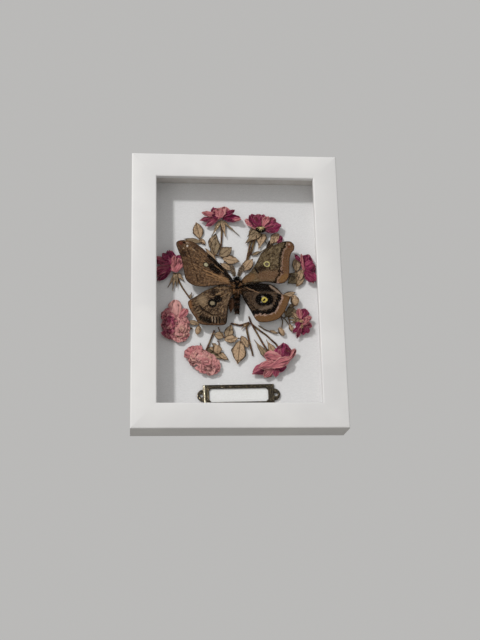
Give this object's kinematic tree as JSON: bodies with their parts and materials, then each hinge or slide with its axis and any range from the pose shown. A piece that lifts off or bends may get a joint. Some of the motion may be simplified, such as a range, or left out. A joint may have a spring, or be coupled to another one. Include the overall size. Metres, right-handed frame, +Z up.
{
  "type": "framed insect display",
  "caption": "Deep white wooden frame with a spread silk moth among pressed roses and leaves behind glass, with a label holder below.",
  "frame": {"origin": "middle of the top rail's back face, where the frame meets the wall", "axes": "+Y into the wall, +Z up, the glass faces -Y and +X is to the right as seen from the front"},
  "size_m": [0.2134, 0.037, 0.2901],
  "materials": {
    "white_paint": "white satin paint on wood",
    "glass": "clear window glass",
    "liner": "white painted strip",
    "board": "matte white mounting board",
    "fibreboard": "bare brown fibreboard",
    "steel": "zinc-plated steel",
    "bronze": "antique bronze, worn",
    "card": "uncoated white card",
    "moth_fur": "short brown fur",
    "moth_wing": "matte brown wing scales",
    "petal_red": "dried crimson petals",
    "petal_pink": "dried dusty pink petals",
    "leaf": "dried olive and tan leaf"
  },
  "bodies": {
    "root": {"rail_top": "white_paint", "rail_right": "white_paint", "rail_bottom": "white_paint", "rail_left": "white_paint", "glass_pane": "glass", "backing_board": "board", "rear_panel": "fibreboard", "liner_top": "liner", "liner_bottom": "liner", "liner_left": "liner", "liner_right": "liner", "back_tab_1": "steel", "back_tab_2": "steel", "back_tab_3": "steel", "back_tab_4": "steel", "back_tab_5": "steel", "back_tab_6": "steel", "back_tab_7": "steel", "back_tab_8": "steel", "sawtooth_hanger": "steel", "label_holder": "bronze", "label_card": "card", "moth_body": "moth_fur", "forewing_left": "moth_wing", "forewing_right": "moth_wing", "hindwing_left": "moth_wing", "hindwing_right": "moth_wing", "antenna_left": "moth_fur", "antenna_right": "moth_fur", "rose_top_left": "petal_red", "rose_top_left_stem": "leaf", "rose_top_right": "petal_red", "rose_top_right_stem": "leaf", "rose_left": "petal_red", "rose_left_stem": "leaf", "rose_left_low": "petal_pink", "rose_left_low_stem": "leaf", "rose_bottom_left": "petal_pink", "rose_bottom_left_stem": "leaf", "rose_bottom_right": "petal_red", "rose_bottom_right_stem": "leaf", "rose_right": "petal_red", "rose_right_stem": "leaf", "rose_right_low": "petal_red", "rose_right_low_stem": "leaf", "leaves_top_left": "leaf", "leaves_top_middle": "leaf", "leaf_by_antennae": "leaf", "leaves_left": "leaf", "leaves_bottom": "leaf", "bud_bottom": "leaf", "leaves_right": "leaf", "bud_right": "leaf", "buds_low_right": "leaf", "bud_top_right": "leaf"}
  },
  "joints": []
}
